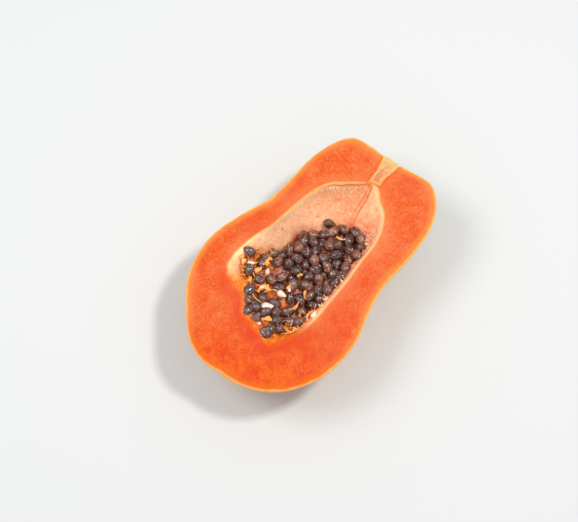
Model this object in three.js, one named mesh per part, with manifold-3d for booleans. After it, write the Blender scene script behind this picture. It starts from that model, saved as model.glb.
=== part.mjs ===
// Half of a ripe papaya, cut lengthways through the stalk and lying on its rounded back, cut face up.
// The hollow of the fruit is open upwards and holds a heap of seeds, which stops short of the stalk end.
//
// Millimetres, +Z up, +Y from the blossom end to the stalk. The origin is under the middle of the fruit's
// own box, on the surface that it rests on, and a small flat spot worn on its back keeps it from rolling.

import * as THREE from 'three';
import { mergeVertices } from 'three/addons/utils/BufferGeometryUtils.js';
import Module from 'manifold-3d';

const wasm = await Module();
wasm.setup();

// Driving dimensions. A factor list is read clockwise from the stalk, seen from above, at equal steps of a
// full turn: each number multiplies the radius of an ellipse there.
const FRUIT = {
  halfBreadth: 54,
  halfLength: 86,
  depth: 50,
  rib: 0.012, // how far the five blunt ribs of the fruit stand out, as a share of its radius
  rim: [0.97, 1.035, 1.15, 1.14, 0.99, 0.85, 0.87, 1.0, 1.06, 1.05, 1.015, 0.98,
    0.965, 1.01, 1.045, 1.065, 1.12, 1.09, 0.945, 0.835, 0.88, 1.005, 1.075, 1.01],
  keel: [0.97, 1.01, 1.07, 1.07, 1.0, 0.965, 0.985, 1.025, 1.05, 1.04, 1.02, 0.99, 0.965],
};
const HOLLOW = {
  centre: [-6.7, 6.4],
  halfBreadth: 32,
  halfLength: 60,
  depth: 25,
  fullness: 1.6, // 1 is the hollow of an ellipsoid, and 2 is a paraboloid, with a gentler wall
  softness: 1.5, // added to it about the soft heading, towards the blossom end, where the wall is gentle
  softHeading: 205,
  softReach: [0.35, 0.85], // cosines of the angle from that heading, where softness begins and is full
  edge: [0.91, 1.025, 1.02, 1.09, 1.095, 1.0, 0.99, 1.01, 1.1, 1.14, 1.145, 1.005,
    0.935, 0.91, 0.865, 1.005, 1.13, 0.97, 0.785, 0.74, 0.76, 0.805, 0.835, 0.84],
};
const HEAP = {
  centre: [-3, -6],
  halfBreadth: 22,
  halfLength: 46,
  edge: [0.85, 1.02, 1.18, 1.33, 1.25, 1.14, 1.06, 1.03, 1.12, 1.03, 1.04, 1.04,
    0.92, 0.93, 1.0, 0.99, 1.01, 1.45, 1.08, 0.72, 0.82, 0.8, 0.73, 0.69],
  crown: -6, // height of the middle of the heap, from the cut face
  step: 2.5, // how much its border stands off the wall that it lies on
  deepest: -13, // lowest and highest that its border gets
  highest: -2.5,
  flatness: 2.5, // power of the distance from the middle: the higher, the flatter the heap
  bump: 1.3, // height of the seeds that stand out of it, and from one to the next
  seedPitch: 7,
  cell: 2.4, // mesh width of its top
};
const STALK = { radius: 5.4, root: 66, end: 85.2, bevel: 1.4 };
const CLEARANCE = 0.5; // between the seeds and the wall of the hollow
const FLAT_CUT = 1.6; // taken off the lowest point of the back

const FRUIT_SEGMENTS = 64;
const HOLLOW_SEGMENTS = 64;
const HEAP_SEGMENTS = 60;

const FLESH = new THREE.MeshStandardMaterial({ name: 'papaya_flesh', color: 0xf96c2d, roughness: 0.35 });
const SEEDS = new THREE.MeshStandardMaterial({ name: 'papaya_seed', color: 0x2b1a16, roughness: 0.25 });

// The factor at an angle, by a smooth closed curve through equally spaced factors.
function factorAt(factors, angle) {
  const n = factors.length;
  const place = (angle / (2 * Math.PI) + 1) * n;
  const first = Math.floor(place);
  const t = place - first;
  const [a, b, c, d] = [-1, 0, 1, 2].map((step) => factors[(first + step + n) % n]);
  return b + 0.5 * t * (c - a + t * (2 * a - 5 * b + 4 * c - d + t * (3 * (b - c) + d - a)));
}

// The keel runs from pole to pole, so its mirror image closes the list.
const keelFactors = [...FRUIT.keel, ...FRUIT.keel.slice(1, -1).reverse()];

// A point of the skin in a direction of the unit sphere, whose poles are the stalk and the blossom end.
// The factor is the rim's at the cut and the keel's underneath, mixed by the square of the sine between.
function skinPoint(direction) {
  const fromStalk = Math.acos(THREE.MathUtils.clamp(direction.y, -1, 1));
  const around = Math.hypot(direction.x, direction.z);
  const sideways = around > 1e-9 ? direction.x / around : 1;
  const rim = factorAt(FRUIT.rim, sideways >= 0 ? fromStalk : -fromStalk);
  const keel = factorAt(keelFactors, fromStalk);
  const underneath = 1 - sideways * sideways;
  const ribs = 1 + FRUIT.rib * underneath * Math.cos(5 * Math.acos(sideways)) * around;
  const factor = (rim * sideways * sideways + keel * underneath) * ribs;
  return new THREE.Vector3(
    FRUIT.halfBreadth * factor * direction.x,
    FRUIT.halfLength * factor * direction.y,
    FRUIT.depth * factor * direction.z,
  );
}

// A closed mesh as a solid, with its vertices moved by place(). Faces shrunk to a line at a pole go.
function solidOf(geometry, place) {
  geometry.deleteAttribute('normal');
  geometry.deleteAttribute('uv');
  const position = geometry.getAttribute('position');
  const vertex = new THREE.Vector3();
  for (let i = 0; i < position.count; i += 1) {
    const moved = place(vertex.fromBufferAttribute(position, i));
    position.setXYZ(i, moved.x, moved.y, moved.z);
  }
  const merged = mergeVertices(geometry, 1e-4);
  const corners = merged.index.array;
  const kept = [];
  for (let i = 0; i < corners.length; i += 3) {
    const face = [corners[i], corners[i + 1], corners[i + 2]];
    if (new Set(face).size === 3) kept.push(...face);
  }
  return new wasm.Manifold(new wasm.Mesh({
    numProp: 3,
    vertProperties: new Float32Array(merged.attributes.position.array),
    triVerts: new Uint32Array(kept),
  }));
}

// A lathe about Z whose plan follows a factor list, and grows by a width. The profile holds [share of the
// plan, height] pairs, and heightAt() may change the height by the angle and the share.
function plannedSolid(plan, profile, segments, grow = 0, heightAt = (angle, share, height) => height) {
  const points = profile.map(([share, height]) => new THREE.Vector2(share, height));
  const lathe = new THREE.LatheGeometry(points, segments).rotateX(Math.PI / 2);
  return solidOf(lathe, ({ x, y, z }) => {
    const angle = Math.atan2(x, y);
    const factor = factorAt(plan.edge, angle);
    const right = plan.centre[0] + (plan.halfBreadth * factor + grow) * x;
    const forward = plan.centre[1] + (plan.halfLength * factor + grow) * y;
    return new THREE.Vector3(right, forward, heightAt(angle, Math.hypot(x, y), z));
  });
}

// Depth of the hollow's wall at an angle and a share of its plan.
function wallDepth(angle, share) {
  const facing = Math.cos(angle - THREE.MathUtils.degToRad(HOLLOW.softHeading));
  const fullness = HOLLOW.fullness + HOLLOW.softness * THREE.MathUtils.smoothstep(facing, ...HOLLOW.softReach);
  return HOLLOW.depth * Math.max(0, 1 - share * share) ** (fullness / 2);
}

// The hollow as a plug: a bowl below the cut face, and straight walls above it.
function hollowPlug(segments, grow = 0) {
  const rows = 11;
  const above = 8;
  const profile = [[0, -1]];
  for (let row = 1; row < rows; row += 1) profile.push([Math.sin((row / rows) * (Math.PI / 2)), -1]);
  profile.push([1, 0], [1, above], [0, above]);
  const bowl = (angle, share, height) => (height < 0
    ? -wallDepth(angle, share) - grow * Math.sqrt(Math.max(0, 1 - share * share)) : height);
  return plannedSolid(HOLLOW, profile, segments, grow, bowl);
}

// The angle of a place in a plan, and how far out it is: none at its centre, 1 on its outline.
function angleAndShare(plan, x, y) {
  const across = (x - plan.centre[0]) / plan.halfBreadth;
  const along = (y - plan.centre[1]) / plan.halfLength;
  const angle = Math.atan2(across, along);
  return [angle, Math.hypot(across, along) / factorAt(plan.edge, angle)];
}

// Height of the heap's top: from its crown down, or up, to a border that stands a step off the wall, with
// the seeds' bumps all over.
function heapTop(x, y) {
  const border = THREE.MathUtils.clamp(
    HEAP.step - wallDepth(...angleAndShare(HOLLOW, x, y)), HEAP.deepest, HEAP.highest,
  );
  const [, share] = angleAndShare(HEAP, x, y);
  const wave = Math.PI / HEAP.seedPitch;
  const bumps = HEAP.bump * Math.cos(wave * (x + 0.5 * y)) * Math.cos(wave * (y - 0.3 * x));
  return THREE.MathUtils.lerp(HEAP.crown, border, Math.min(1, share) ** HEAP.flatness) + bumps;
}

// The seeds as one solid: a block with a bumpy top, cut to the heap's plan and to the hollow's wall.
function seedHeap() {
  const [middleX, middleY] = HEAP.centre;
  const [breadth, length] = [3.2 * HEAP.halfBreadth, 2.4 * HEAP.halfLength];
  const depth = HOLLOW.depth + 5;
  const steps = [breadth, length].map((side) => Math.round(side / HEAP.cell));
  const block = solidOf(new THREE.BoxGeometry(breadth, length, depth, ...steps, 1), ({ x, y, z }) => {
    const [right, forward] = [middleX + x, middleY + y];
    return new THREE.Vector3(right, forward, z > 0 ? heapTop(right, forward) : -depth);
  });
  const plan = plannedSolid(HEAP, [[0, -depth], [1, -depth], [1, 0], [0, 0]], HEAP_SEGMENTS);
  return block.intersect(plan).intersect(hollowPlug(HOLLOW_SEGMENTS, -CLEARANCE));
}

// The flesh with its skin and the stump of the stalk, cut open by the plane through the stalk.
function papayaHalf() {
  const sphere = new THREE.SphereGeometry(1, FRUIT_SEGMENTS, FRUIT_SEGMENTS - 8);
  const whole = solidOf(sphere, skinPoint);
  const stalkProfile = [[0, STALK.root], [STALK.radius, STALK.root], [STALK.radius, STALK.end - STALK.bevel],
    [STALK.radius - STALK.bevel, STALK.end], [0, STALK.end]];
  const stalk = solidOf(
    new THREE.LatheGeometry(stalkProfile.map(([radius, along]) => new THREE.Vector2(radius, along)), 24),
    (vertex) => vertex.clone(),
  );
  const box = whole.boundingBox();
  const down = [0, 0, -1];
  const rest = [0, 0, 1];
  return whole.add(stalk)
    .trimByPlane(down, 0)
    .trimByPlane(rest, box.min[2] + FLAT_CUT)
    .subtract(hollowPlug(HOLLOW_SEGMENTS));
}

// A solid as a named mesh.
function meshOf(name, solid, material) {
  const { vertProperties, triVerts, numProp } = solid.getMesh();
  if (numProp !== 3) throw new Error(`${name}: expected bare positions`);
  const geometry = new THREE.BufferGeometry();
  geometry.setAttribute('position', new THREE.BufferAttribute(new Float32Array(vertProperties), 3));
  geometry.setIndex(new THREE.BufferAttribute(new Uint32Array(triVerts), 1));
  const mesh = new THREE.Mesh(geometry, material);
  mesh.name = name;
  return mesh;
}

const half = papayaHalf();
const heap = seedHeap();
const { min, max } = half.boundingBox();
const toOrigin = [-(min[0] + max[0]) / 2, -(min[1] + max[1]) / 2, -min[2]];

const part = new THREE.Group();
part.name = 'papaya_half_with_seeds';
part.add(
  meshOf('papaya_half', half.translate(toOrigin), FLESH),
  meshOf('seed_heap', heap.translate(toOrigin), SEEDS),
);

export default part;
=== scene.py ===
"""Half of a ripe papaya, lying on its back with the cut face up and its hollow full of wet seeds.

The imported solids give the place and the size. The fruit and the seed heap are remade here at full detail:
the fruit as one closed mesh from its back over the cut face into the hollow, and the heap as separate seeds
over a smaller core, with unripe seeds, pulp, strands and the short hairs of the lining.

Lengths are in millimetres in the fruit's own frame until a mesh is made: the origin is on the cut face, +Y
points to the stalk and +Z up out of the cut. A plan angle is read clockwise from the stalk, seen from above.
"""

import itertools
import logging
import math
from dataclasses import dataclass, field
from enum import Enum

import bpy
import numpy as np
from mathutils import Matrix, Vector


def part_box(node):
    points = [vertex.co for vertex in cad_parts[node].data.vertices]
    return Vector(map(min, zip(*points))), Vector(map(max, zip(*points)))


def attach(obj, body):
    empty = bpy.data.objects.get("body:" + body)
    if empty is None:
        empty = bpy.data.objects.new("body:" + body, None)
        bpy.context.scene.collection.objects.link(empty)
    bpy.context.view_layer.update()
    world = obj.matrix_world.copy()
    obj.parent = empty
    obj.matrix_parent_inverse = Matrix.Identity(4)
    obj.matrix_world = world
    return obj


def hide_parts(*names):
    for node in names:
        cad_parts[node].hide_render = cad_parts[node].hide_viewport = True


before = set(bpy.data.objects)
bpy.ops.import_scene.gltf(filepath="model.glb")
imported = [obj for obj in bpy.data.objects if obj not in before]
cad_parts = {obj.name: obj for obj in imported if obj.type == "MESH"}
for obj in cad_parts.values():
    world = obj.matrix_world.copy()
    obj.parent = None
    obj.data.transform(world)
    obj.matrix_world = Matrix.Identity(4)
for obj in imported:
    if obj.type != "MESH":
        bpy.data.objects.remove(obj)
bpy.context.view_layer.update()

log = logging.getLogger("papaya")

Array = np.ndarray
Colour = tuple[float, float, float, float]
Spot = tuple[float, float]
Shade = tuple[float, float, float]
Material, Piece = bpy.types.Material, bpy.types.Object
Node, Socket, Tree = bpy.types.Node, bpy.types.NodeSocket, bpy.types.NodeTree

PROUD = 0.6  # the most that seeds, bits and hairs rise above the cut face, in millimetres


# ---- helpers


def colour(red: float, green: float, blue: float) -> Colour:
    """A screen colour from 0 to 255 as linear light, by the usual 2.4 power with a straight foot."""
    parts = [c / 255 for c in (red, green, blue)]
    linear = [c / 12.92 if c <= 0.04045 else ((c + 0.055) / 1.055) ** 2.4 for c in parts]
    return (linear[0], linear[1], linear[2], 1.0)


def smoothstep(low: float, high: float, value: Array) -> Array:
    """0 below low, 1 above high, and t * t * (3 - 2t) between, where t is the share of the way."""
    t = np.clip((value - low) / (high - low), 0.0, 1.0)
    return t * t * (3 - 2 * t)


def unit(vectors: Array) -> Array:
    """Each vector divided by its own length."""
    return vectors / np.maximum(np.linalg.norm(vectors, axis=-1, keepdims=True), 1e-12)


def corner_number(cells: Array, seed: int) -> Array:
    """A fixed number from -1 to 1 for each lattice corner, from large primes mixed by exclusive or."""
    mixed = cells[..., 0] * 73856093 ^ cells[..., 1] * 19349663 ^ cells[..., 2] * 83492791 ^ seed * 2654435
    mixed = (mixed ^ (mixed >> 13)) * 1274126177 & 0x7FFFFFFF
    return ((mixed ^ (mixed >> 11)) & 0xFFFF) / 32767.5 - 1.0


def lattice_noise(points: Array, pitch: float, seed: int = 0) -> Array:
    """Smooth noise from -1 to 1 at each point: a number at each corner of a cubic lattice with that pitch,
    blended by smoothsteps. The seed picks one of many such noises."""
    cells = np.floor(points / pitch).astype(np.int64)
    part = points / pitch - cells
    part = part * part * (3 - 2 * part)
    total = np.zeros(points.shape[:-1])
    for corner in itertools.product((0, 1), repeat=3):
        weight = np.prod(np.where(np.array(corner, bool), part, 1 - part), axis=-1)
        total += weight * corner_number(cells + np.array(corner), seed)
    return total


def sphere_directions(rings: int, around: int) -> Array:
    """Unit vectors on rings about Z in equal steps from the lower pole to the upper one, poles left out."""
    polar = np.pi - np.pi * (np.arange(rings) + 1) / (rings + 1)
    turn = 2 * np.pi * np.arange(around) / around
    polar, turn = np.meshgrid(polar, turn, indexing="ij")
    return np.stack([np.sin(polar) * np.cos(turn), np.sin(polar) * np.sin(turn), np.cos(polar)], -1)


def closed_faces(rings: int, around: int) -> tuple[Array, Array]:
    """Faces of a surface of rings closed by a pole at each end. Vertex 0 is the first pole, the rings
    follow in order, and the last vertex is the other pole.

    Args:
        rings: number of rings.
        around: points on each ring.

    Returns:
        (quads, triangles) as arrays of vertex numbers.
    """
    ring, step = np.meshgrid(np.arange(rings - 1), np.arange(around), indexing="ij")
    here = 1 + ring * around + step
    beside = 1 + ring * around + (step + 1) % around
    quads = np.stack([here, beside, beside + around, here + around], -1).reshape(-1, 4)
    step = np.arange(around)
    following = (step + 1) % around
    last = 1 + (rings - 1) * around
    top = last + around
    first_fan = np.stack([np.zeros_like(step), 1 + following, 1 + step], -1)
    last_fan = np.stack([last + step, last + following, np.full_like(step, top)], -1)
    return quads, np.concatenate([first_fan, last_fan])


@dataclass
class Surface:
    """Vertices and faces of one or many closed skins, with named numbers for each vertex."""

    points: Array
    quads: Array
    triangles: Array
    marks: dict[str, Array] = field(default_factory=dict)

    @classmethod
    def of_rings(cls, rings: Array, poles: tuple[Array, Array],
                 marks: dict[str, Array] | None = None) -> "Surface":
        """A closed skin from rings (rings, around, 3) and its poles, with numbers for each vertex."""
        points = np.concatenate([poles[0][None], rings.reshape(-1, 3), poles[1][None]])
        quads, triangles = closed_faces(rings.shape[0], rings.shape[1])
        return cls(points, quads, triangles, marks or {})

    @classmethod
    def of_copies(cls, copies: Array, rings: int, around: int, marks: dict[str, Array]) -> "Surface":
        """Many closed skins of one layout (copies, vertices, 3), with their poles first and last, and
        with numbers for each copy."""
        count, size = copies.shape[:2]
        quads, triangles = closed_faces(rings, around)
        shift = (np.arange(count) * size)[:, None, None]
        spread = {name: np.repeat(values, size) for name, values in marks.items()}
        return cls(copies.reshape(-1, 3), (quads[None] + shift).reshape(-1, 4),
                   (triangles[None] + shift).reshape(-1, 3), spread)

    @classmethod
    def joined(cls, surfaces: list["Surface"]) -> "Surface":
        """Several surfaces as one, vertex numbers moved on by what stands before them."""
        starts = np.cumsum([0] + [len(s.points) for s in surfaces[:-1]])
        names = surfaces[0].marks
        return cls(
            np.concatenate([s.points for s in surfaces]),
            np.concatenate([s.quads + start for s, start in zip(surfaces, starts)]),
            np.concatenate([s.triangles + start for s, start in zip(surfaces, starts)]),
            {name: np.concatenate([s.marks[name] for s in surfaces]) for name in names},
        )

    def volume(self) -> float:
        """Signed volume: a sixth of the sum, over the triangles, of each corner triple's box product."""
        split = np.concatenate([self.quads[:, [0, 1, 2]], self.quads[:, [0, 2, 3]], self.triangles])
        a, b, c = (self.points[split[:, corner]] for corner in range(3))
        return float(np.einsum("ij,ij->i", a, np.cross(b, c)).sum() / 6)

    def turned_out(self) -> "Surface":
        """The same skin with its faces pointing outwards, found from the sign of its volume."""
        if self.volume() >= 0:
            return self
        return Surface(self.points, self.quads[:, ::-1], self.triangles[:, ::-1], self.marks)


def linked(name: str, data: bpy.types.ID) -> Piece:
    """A new object with this mesh, light or camera, in the scene."""
    made = bpy.data.objects.new(name, data)
    bpy.context.scene.collection.objects.link(made)
    return made


def make_piece(name: str, surface: Surface, origin: Array, materials: list[Material],
               face_slots: Array | None = None) -> Piece:
    """A Blender object from a surface in the fruit's frame, smooth, in metres and in the row's frame.

    Args:
        name: the piece's name.
        surface: the shape, in millimetres.
        origin: the row's place of the fruit frame's origin, in millimetres.
        materials: the piece's materials.
        face_slots: which material each face has, quads first and triangles after.

    Returns:
        The linked object.
    """
    surface = surface.turned_out()
    mesh = bpy.data.meshes.new(name)
    corners = np.concatenate([surface.quads.ravel(), surface.triangles.ravel()]).astype(np.int32)
    sizes = np.concatenate([np.full(len(surface.quads), 4), np.full(len(surface.triangles), 3)])
    mesh.vertices.add(len(surface.points))
    mesh.vertices.foreach_set("co", ((surface.points + origin) / 1000).astype(np.float32).ravel())
    mesh.loops.add(len(corners))
    mesh.loops.foreach_set("vertex_index", corners)
    mesh.polygons.add(len(sizes))
    mesh.polygons.foreach_set("loop_start", np.concatenate([[0], np.cumsum(sizes)[:-1]]).astype(np.int32))
    mesh.polygons.foreach_set("use_smooth", np.ones(len(sizes), bool))
    for material in materials:
        mesh.materials.append(material)
    if face_slots is not None:
        mesh.polygons.foreach_set("material_index", face_slots.astype(np.int32))
    for mark, values in surface.marks.items():
        flat = values.ndim == 1
        attribute = mesh.attributes.new(mark, "FLOAT" if flat else "FLOAT_VECTOR", "POINT")
        attribute.data.foreach_set("value" if flat else "vector", values.astype(np.float32).ravel())
    mesh.update(calc_edges=True)
    mesh.validate()
    log.info("%s: %d faces", name, len(sizes))
    return linked(name, mesh)


def sweep(path: Array, widths: Array, around: int) -> tuple[Array, tuple[Array, Array]]:
    """A closed tube along a path. Each ring lies square to the path, and its first direction is up less
    its share along the path, so the tube doesn't twist. The ends close in a point.

    Args:
        path: places along the middle, (n, 3).
        widths: the tube's radius at each place, (n,).
        around: points on each ring.

    Returns:
        (rings, poles), as Surface.of_rings takes them.
    """
    ahead = unit(np.gradient(path, axis=0))
    up = np.array([0.12, 0.07, 1.0])
    side = unit(np.cross(ahead, up))
    rise = np.cross(side, ahead)
    turn = 2 * np.pi * np.arange(around) / around
    circle = side[:, None] * np.cos(turn)[None, :, None] + rise[:, None] * np.sin(turn)[None, :, None]
    rings = path[:, None] + circle * widths[:, None, None]
    poles = (path[0] - ahead[0] * widths[0] * 0.6, path[-1] + ahead[-1] * widths[-1] * 0.6)
    return rings, poles


def spline(a: Array, b: Array, c: Array, d: Array, t: Array) -> Array:
    """The Catmull-Rom curve through four stops, at a share t of the way from the second to the third."""
    return b + 0.5 * t * (c - a + t * (2 * a - 5 * b + 4 * c - d + t * (3 * (b - c) + d - a)))


def curve_through(stops: Array, count: int) -> Array:
    """count places on a smooth curve through the stops: a Catmull-Rom spline with its ends doubled."""
    padded = np.concatenate([stops[:1], stops, stops[-1:]])
    t = np.linspace(0, len(stops) - 1 - 1e-6, count)
    k = t.astype(int)
    return spline(*(padded[k + i] for i in range(4)), (t - k)[:, None])


# ---- the outlines


@dataclass(frozen=True)
class Outline:
    """A closed plan curve: an ellipse whose radius is multiplied by factors at equal angles."""

    centre: Spot
    half_breadth: float
    half_length: float
    factors: tuple[float, ...]

    def factor(self, angle: Array) -> Array:
        """The factor at a plan angle, by a smooth closed curve through the equally spaced factors."""
        knots = np.array(self.factors)
        place = (angle / (2 * np.pi) % 1.0) * len(knots)
        first = np.floor(place).astype(int)
        return spline(*(knots[(first + step) % len(knots)] for step in (-1, 0, 1, 2)), place - first)

    def place(self, angle: Array, share: Array | float = 1.0) -> Array:
        """Plan places at an angle and at a share of the way out: centre + share * factor * (sin, cos)."""
        reach = self.factor(angle) * share
        return np.stack([self.centre[0] + self.half_breadth * reach * np.sin(angle),
                         self.centre[1] + self.half_length * reach * np.cos(angle)], -1)

    def angle_and_share(self, plan: Array) -> tuple[Array, Array]:
        """The angle of a plan place, and how far out it is: 0 at the centre and 1 on the outline."""
        across = (plan[..., 0] - self.centre[0]) / self.half_breadth
        along = (plan[..., 1] - self.centre[1]) / self.half_length
        angle = np.arctan2(across, along)
        return angle, np.hypot(across, along) / self.factor(angle)

    def share(self, plan: Array) -> Array:
        """How far out a plan place is: 0 at the centre and 1 on the outline."""
        return self.angle_and_share(plan)[1]


@dataclass(frozen=True)
class Hollow:
    """The seed hollow: a bowl whose plan is an outline and whose depth falls off to none at its edge."""

    outline: Outline = Outline(
        (-6.7, 6.4), 32.0, 60.0,
        (0.91, 1.025, 1.02, 1.09, 1.095, 1.0, 0.99, 1.01, 1.1, 1.14, 1.145, 1.005,
         0.935, 0.91, 0.865, 1.005, 1.13, 0.97, 0.785, 0.74, 0.76, 0.805, 0.835, 0.84))
    depth: float = 25.0
    fullness: float = 1.6
    softness: float = 1.5
    soft_heading: float = 205.0
    soft_reach: tuple[float, float] = (0.35, 0.85)

    def soft(self, angle: Array) -> Array:
        """How gentle the wall is at a plan angle: 0 on most sides, and up to 1 about the soft heading."""
        return smoothstep(*self.soft_reach, np.cos(angle - math.radians(self.soft_heading)))

    def height(self, angle: Array, share: Array) -> Array:
        """Height of the wall: minus depth times (1 - share squared) to half the fullness there."""
        power = (self.fullness + self.softness * self.soft(angle)) / 2
        return -self.depth * np.maximum(0.0, 1 - share * share) ** power

    def wall(self, plan: Array) -> Array:
        """Height of the wall under a plan place."""
        return self.height(*self.outline.angle_and_share(plan))

    def normal(self, plan: Array) -> Array:
        """Direction into the open hollow at a plan place, from the slopes 0.4 mm to each side."""
        step = 0.4
        slopes = [(self.wall(plan + shift) - self.wall(plan - shift)) / (2 * step)
                  for shift in (np.array([step, 0.0]), np.array([0.0, step]))]
        return unit(np.stack([-slopes[0], -slopes[1], np.ones_like(slopes[0])], -1))


@dataclass(frozen=True)
class Heap:
    """The top of the seed heap: a crown that falls or rises to a border a step above the wall."""

    outline: Outline = Outline(
        (-3.0, -6.0), 22.0, 46.0,
        (0.85, 1.02, 1.18, 1.33, 1.25, 1.14, 1.06, 1.03, 1.12, 1.03, 1.04, 1.04,
         0.92, 0.93, 1.0, 0.99, 1.01, 1.45, 1.08, 0.72, 0.82, 0.8, 0.73, 0.69))
    crown: float = -6.0
    step: float = 2.5
    deepest: float = -13.0
    highest: float = -2.5
    flatness: float = 2.5

    def top(self, plan: Array, hollow: Hollow) -> Array:
        """Height of the top: from crown to border by the share of the way out to the flatness power."""
        border = np.clip(self.step + hollow.wall(plan), self.deepest, self.highest)
        share = np.minimum(1.0, self.outline.share(plan)) ** self.flatness
        return self.crown + (border - self.crown) * share


@dataclass
class Bed:
    """What is built from the hollow's wall and the heap's top."""

    hollow: Hollow
    heap: Heap


# ---- node tree tools


class Board:
    """A short way to lay out shader nodes: each call adds a node and gives back its output.

    A colour is an output, or a screen colour (red, green, blue) from 0 to 255.
    """

    def __init__(self, tree: Tree) -> None:
        """Keeps the tree that the nodes go in."""
        self.tree = tree

    def put(self, target: Socket, value: object) -> None:
        """Joins a socket to an output, or sets it to a plain value."""
        if isinstance(value, Socket):
            self.tree.links.new(value, target)
        else:
            target.default_value = value

    def node(self, kind: str, inputs: dict | None = None, **settings: object) -> Node:
        """A node of a kind, with its settings, and its inputs by name or number.

        Args:
            kind: the node's type name, without ShaderNode.
            inputs: socket name or number to an output or a plain value.
            settings: the node's own properties.

        Returns:
            The node.
        """
        made = self.tree.nodes.new("ShaderNode" + kind)
        for name, value in settings.items():
            setattr(made, name, value)
        for key, value in (inputs or {}).items():
            self.put(made.inputs[key], value)
        return made

    def mix(self, share: object, first: object, second: object) -> Socket:
        """The first colour turned into the second by a share from 0 to 1."""
        first, second = (colour(*shade) if isinstance(shade, tuple) else shade for shade in (first, second))
        return self.node("Mix", {0: share, 6: first, 7: second}, data_type="RGBA").outputs[2]

    def band(self, value: object, low: float, high: float, start: float = 0.0, end: float = 1.0) -> Socket:
        """A value from low to high turned smoothly into a number from start to end, and held beyond."""
        return self.node("MapRange", {0: value, 1: low, 2: high, 3: start, 4: end},
                         interpolation_type="SMOOTHSTEP").outputs[0]

    def layered(self, base: object, *layers: tuple[object, object, float, float, float]) -> Socket:
        """A colour with others laid over it in turn.

        Args:
            base: the lowest colour.
            layers: each (colour, value, low, high, most), whose share goes from 0 to most as the value
                goes from low to high.

        Returns:
            The colour on top.
        """
        for shade, value, low, high, most in layers:
            base = self.mix(self.band(value, low, high, 0.0, most), base, shade)
        return base

    def sum(self, how: str, first: object, second: object) -> Socket:
        """Two numbers joined by a sum of that kind, such as ADD or SUBTRACT."""
        return self.node("Math", {0: first, 1: second}, operation=how).outputs[0]

    def times(self, first: object, second: object) -> Socket:
        """The product of two numbers."""
        return self.sum("MULTIPLY", first, second)

    def mark(self, name: str, output: str = "Fac") -> Socket:
        """A number that each vertex of the piece carries, or with output Vector a place."""
        return self.node("Attribute", attribute_name=name, attribute_type="GEOMETRY").outputs[output]

    def place(self) -> Socket:
        """The place in the object's own frame, in metres."""
        return self.node("TexCoord").outputs["Object"]

    def stretched(self, vector: object, scale: tuple[float, float, float],
                  turn: tuple[float, float, float] = (0.0, 0.0, 0.0)) -> Socket:
        """A place turned and then stretched along each axis."""
        return self.node("Mapping", {"Vector": vector, "Rotation": turn, "Scale": scale}).outputs[0]

    def noise(self, vector: object, pitch: float, detail: float = 2.0, rough: float = 0.5) -> Socket:
        """Soft noise from 0 to 1 whose lumps are about pitch metres apart."""
        return self.node("TexNoise", {"Vector": vector, "Scale": 1 / pitch, "Detail": detail,
                                      "Roughness": rough}).outputs["Fac"]

    def spots(self, vector: object, scale: float) -> Socket:
        """Distance to the nearest of many scattered points, about 1 / scale metres apart."""
        return self.node("TexVoronoi", {"Vector": vector, "Scale": scale, "Randomness": 1.0}).outputs[0]


def mottle_group() -> Tree:
    """The shader group for uneven living surfaces: a broad mask of patches, and a fine relief.

    Its mask is soft noise at the patch scale, spread about the middle by the contrast. Its height is
    noise at the grain scale.

    Returns:
        The node group, with inputs Vector, Patch Scale, Grain Scale and Contrast.
    """
    group = bpy.data.node_groups.new("mottle", "ShaderNodeTree")
    group.interface.new_socket(name="Vector", in_out="INPUT", socket_type="NodeSocketVector")
    for name, value in (("Patch Scale", 80.0), ("Grain Scale", 900.0), ("Contrast", 2.0)):
        socket = group.interface.new_socket(name=name, in_out="INPUT", socket_type="NodeSocketFloat")
        socket.default_value = value
    for name in ("Mask", "Height"):
        group.interface.new_socket(name=name, in_out="OUTPUT", socket_type="NodeSocketFloat")
    board = Board(group)
    given = group.nodes.new("NodeGroupInput").outputs
    patches, grain = (board.node("TexNoise", {"Vector": given["Vector"], "Scale": given[scale], "Detail": 3.0,
                                              "Roughness": rough}).outputs["Fac"]
                      for scale, rough in (("Patch Scale", 0.55), ("Grain Scale", 0.6)))
    spread = board.times(board.sum("SUBTRACT", patches, 0.5), given["Contrast"])
    mask = board.node("Math", {0: spread, 1: 0.5}, operation="ADD", use_clamp=True).outputs[0]
    result = group.nodes.new("NodeGroupOutput").inputs
    board.put(result["Mask"], mask)
    board.put(result["Height"], grain)
    return group


class Finish:
    """A finish: a material whose nodes its own dress method lays out, over fixed values of the shader."""

    name = "finish"
    fixed: dict[str, object] = {}

    def __init__(self, mottle: Tree) -> None:
        """Keeps the shared mottle group."""
        self.mottle = mottle

    def patches(self, board: Board, patch: float, grain: float,
                contrast: float) -> tuple[Socket, Socket]:
        """The mottle group's mask and height, for patches and grains so many metres apart."""
        node = board.tree.nodes.new("ShaderNodeGroup")
        node.node_tree = self.mottle
        for name, value in (("Vector", board.place()), ("Patch Scale", 1 / patch), ("Grain Scale", 1 / grain),
                            ("Contrast", contrast)):
            board.put(node.inputs[name], value)
        return node.outputs["Mask"], node.outputs["Height"]

    def dress(self, board: Board, shader: Node) -> None:
        """Lays out the nodes that feed the shader."""
        raise NotImplementedError

    def feed(self, board: Board, shader: Node, shade: object, relief: object, depth: float,
             strength: float) -> None:
        """Gives the shader its colour, and a bump from a relief whose height 0 to 1 is depth metres."""
        board.put(shader.inputs["Base Color"], shade)
        bump = board.node("Bump", {"Height": relief, "Distance": depth, "Strength": strength})
        board.put(shader.inputs["Normal"], bump.outputs[0])

    def material(self) -> Material:
        """A new material with this finish."""
        made = bpy.data.materials.new(self.name)
        made.use_nodes = True
        shader = made.node_tree.nodes["Principled BSDF"]
        self.dress(Board(made.node_tree), shader)
        for name, value in self.fixed.items():
            shader.inputs[name].default_value = value
        return made


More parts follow.
